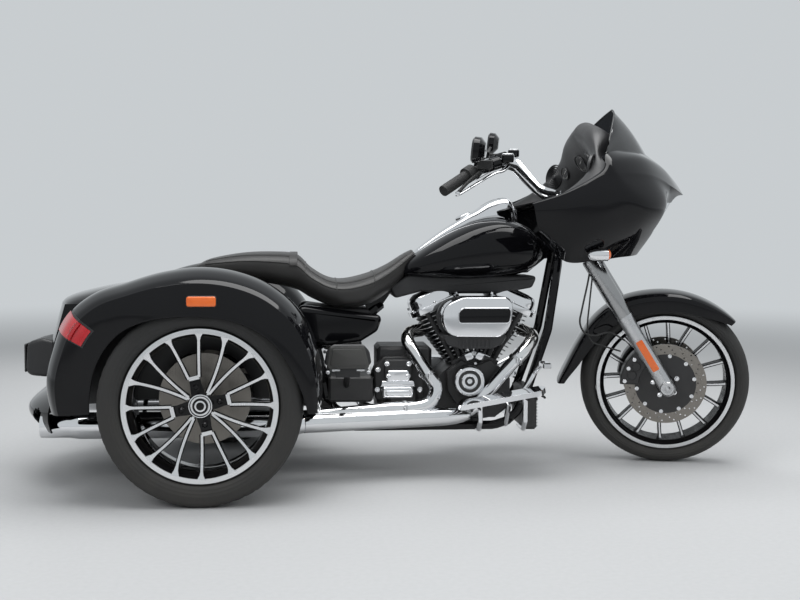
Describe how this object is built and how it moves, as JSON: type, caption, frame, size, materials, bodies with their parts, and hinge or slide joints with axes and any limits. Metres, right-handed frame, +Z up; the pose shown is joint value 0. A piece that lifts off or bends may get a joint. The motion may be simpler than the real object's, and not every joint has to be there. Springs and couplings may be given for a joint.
{
  "type": "touring trike",
  "caption": "Full-size three-wheeled touring motorcycle with a frame-mounted fairing, open V-twin engine, wide rear fenders and a trunk with a hinged lid.",
  "frame": {"origin": "centre of the bounding box on the floor the tyres stand on", "axes": "+X forwards, +Y to the rider's left, +Z up"},
  "size_m": [2.648, 1.394, 1.3228],
  "materials": {
    "gloss_black": "deep gloss black paint",
    "black_cast_wheel": "gloss black cast wheel with machined faces",
    "satin_black": "satin black",
    "black_plastic": "grained matte black",
    "grip_rubber": "black rubber",
    "chrome": "polished chrome",
    "tyre": "black rubber",
    "leather": "black, stitched",
    "red_lens": "red lens",
    "amber_lens": "amber lens",
    "clear_lens": "clear lens",
    "smoked_screen": "smoke-tinted screen"
  },
  "bodies": {
    "chassis": {"frame": "gloss_black", "crankcase": "satin_black", "cylinder_front": "satin_black", "cylinder_rear": "satin_black", "rocker_cover_front": "chrome", "rocker_cover_rear": "chrome", "cam_cover": "chrome", "gearbox": "satin_black", "primary_cover": "chrome", "air_cleaner": "chrome", "exhaust_headers": "chrome", "muffler_right": "chrome", "muffler_left": "chrome", "fuel_tank": "gloss_black", "tank_console": "chrome", "seat": "leather", "rear_deck": "gloss_black", "trunk_tub": "gloss_black", "plate_bracket": "black_plastic", "rear_fender_right": "gloss_black", "rear_fender_left": "gloss_black", "tail_lamp_right": "red_lens", "tail_lamp_left": "red_lens", "marker_lamp_right": "amber_lens", "marker_lamp_left": "amber_lens", "rear_axle": "satin_black", "battery_box": "satin_black", "oil_cooler": "satin_black", "fairing": "gloss_black", "headlamp": "clear_lens", "dashboard": "black_plastic", "windshield": "smoked_screen", "turn_signal_right": "chrome", "turn_signal_left": "chrome", "floorboard_right": "chrome", "floorboard_left": "chrome", "passenger_board_right": "black_plastic", "passenger_board_left": "black_plastic", "brake_pedal": "chrome", "shift_lever": "chrome"},
    "trunk_lid": {"trunk_lid": "gloss_black"},
    "steering": {"fork_tree": "satin_black", "fork_leg_right": "chrome", "fork_leg_left": "chrome", "front_axle": "chrome", "handlebar": "chrome", "grip_right": "grip_rubber", "grip_left": "grip_rubber", "mirror_right": "chrome", "mirror_left": "chrome", "calliper_right": "satin_black", "calliper_left": "satin_black", "front_fender": "gloss_black"},
    "front_wheel": {"front_tyre": "tyre", "front_wheel": "black_cast_wheel"},
    "rear_wheel_right": {"rear_tyre_right": "tyre", "rear_wheel_right": "black_cast_wheel"},
    "rear_wheel_left": {"rear_tyre_left": "tyre", "rear_wheel_left": "black_cast_wheel"}
  },
  "joints": [
    {"name": "steering", "type": "hinge", "parent": "chassis", "child": "steering", "pos_m": [0.80086, 0, 0.8], "axis": [-0.4384, 0, 0.8988], "range_deg": [-16, 44]},
    {"name": "front_wheel_spin", "type": "hinge", "parent": "steering", "child": "front_wheel", "pos_m": [1.0166, 0.00506, 0.3114], "axis": [0.2174, 0.9703, 0.1061], "continuous": true},
    {"name": "rear_wheel_right_spin", "type": "hinge", "parent": "chassis", "child": "rear_wheel_right", "pos_m": [-0.65896, -0.56, 0.319], "axis": [0, 1, 0], "continuous": true},
    {"name": "rear_wheel_left_spin", "type": "hinge", "parent": "chassis", "child": "rear_wheel_left", "pos_m": [-0.65896, 0.56, 0.319], "axis": [0, 1, 0], "continuous": true},
    {"name": "trunk_lid_hinge", "type": "hinge", "parent": "chassis", "child": "trunk_lid", "pos_m": [-0.72496, 0, 0.6736], "axis": [0, 1, 0], "range_deg": [0, 60]}
  ]
}
